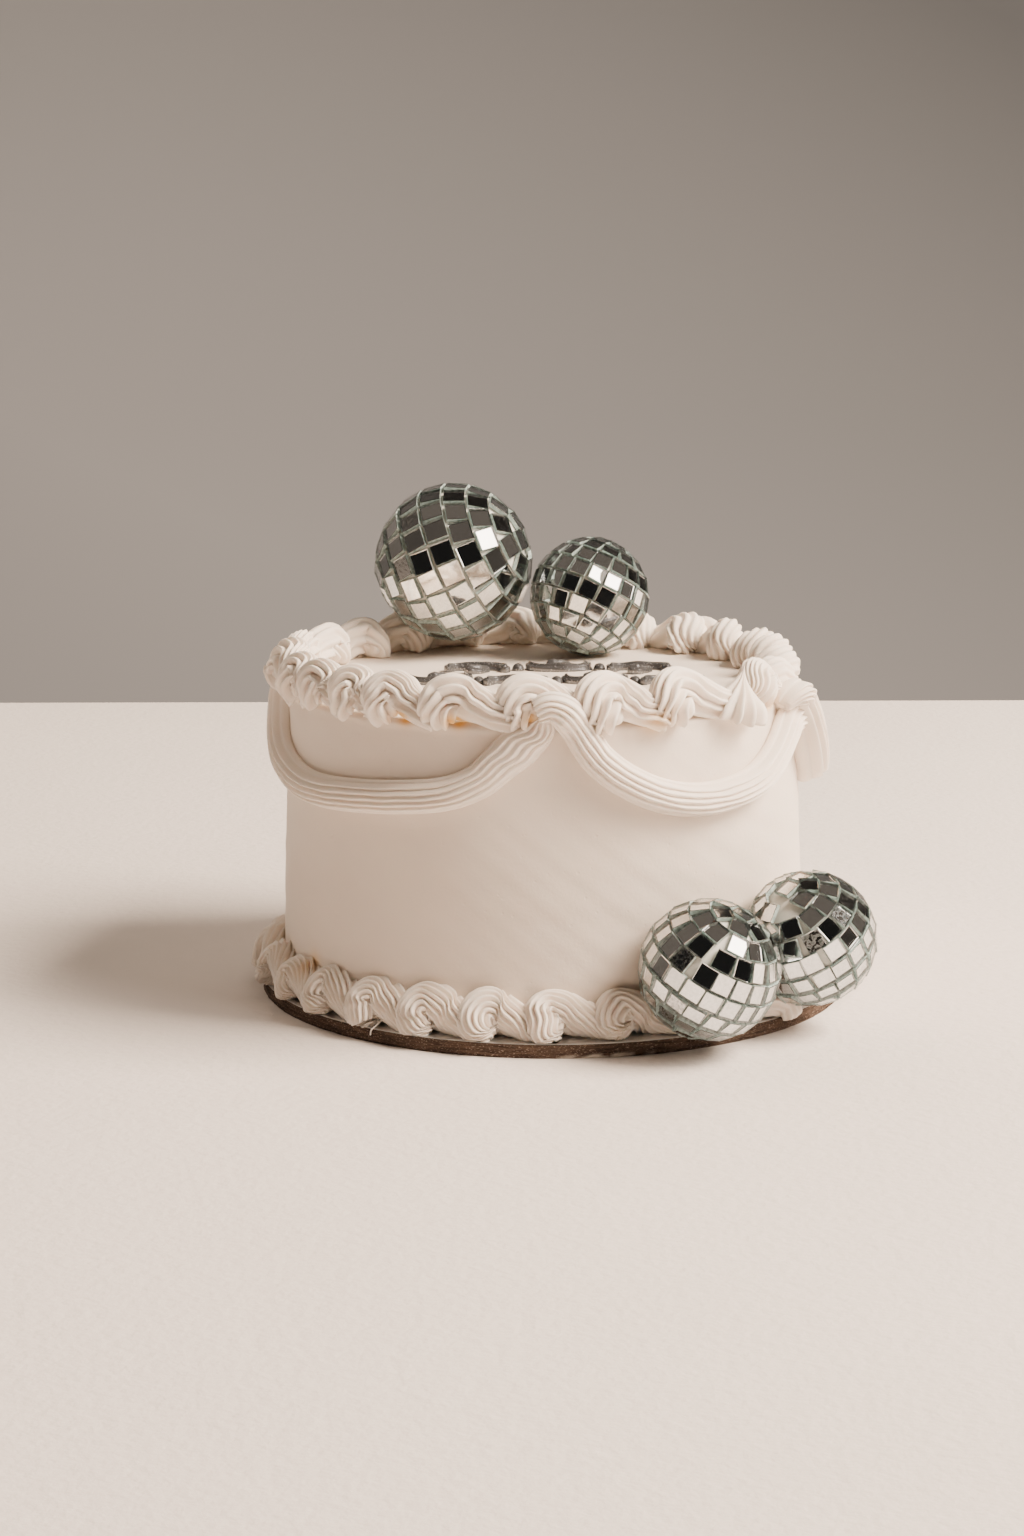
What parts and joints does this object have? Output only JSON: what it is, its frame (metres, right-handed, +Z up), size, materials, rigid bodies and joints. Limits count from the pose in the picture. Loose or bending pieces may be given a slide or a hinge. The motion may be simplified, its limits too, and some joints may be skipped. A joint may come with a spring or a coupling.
{
  "type": "disco ball cake",
  "caption": "Round iced party cake on a thin board, with piped shell borders, draped swags, a silver piped flourish on top and small mirror balls.",
  "frame": {"origin": "on the cake's axis, on the underside of the board that it stands on", "axes": "+Z up along the cake's axis, -Y towards the front where two swags meet, +X towards the mirror balls at the foot"},
  "size_m": [0.1857, 0.1934, 0.1454],
  "materials": {
    "icing": "smoothed white icing, satin",
    "piped_icing": "piped white icing, soft satin",
    "board_fibre": "dark pressed fibre, raw edge",
    "board_foil": "thin silver foil",
    "mirror_tile": "silvered glass tiles with pale green cut edges",
    "ball_core": "pale foam core with a film of adhesive",
    "silver_icing": "silver lustre over piped icing"
  },
  "bodies": {
    "root": {"cake_board": "board_fibre", "iced_cake": "icing", "top_border": "piped_icing", "foot_border": "piped_icing", "swag_1": "piped_icing", "swag_2": "piped_icing", "swag_3": "piped_icing", "swag_4": "piped_icing", "swag_5": "piped_icing", "mirror_ball_top_large": "mirror_tile", "mirror_ball_top_small": "mirror_tile", "mirror_ball_foot_left": "mirror_tile", "mirror_ball_foot_right": "mirror_tile", "silver_scroll_1_1": "silver_icing", "silver_scroll_1_2": "silver_icing", "silver_scroll_1_3": "silver_icing", "silver_scroll_1_4": "silver_icing", "silver_leaf_1_1": "silver_icing", "silver_leaf_1_2": "silver_icing", "silver_leaf_1_3": "silver_icing", "silver_leaf_1_4": "silver_icing", "silver_bead_1_1": "silver_icing", "silver_bead_1_2": "silver_icing", "silver_bead_1_3": "silver_icing", "silver_scroll_2_1": "silver_icing", "silver_scroll_2_2": "silver_icing", "silver_scroll_2_3": "silver_icing", "silver_leaf_2_1": "silver_icing", "silver_leaf_2_2": "silver_icing", "silver_leaf_2_3": "silver_icing", "silver_bead_2_1": "silver_icing", "silver_bead_2_2": "silver_icing"}
  },
  "joints": []
}
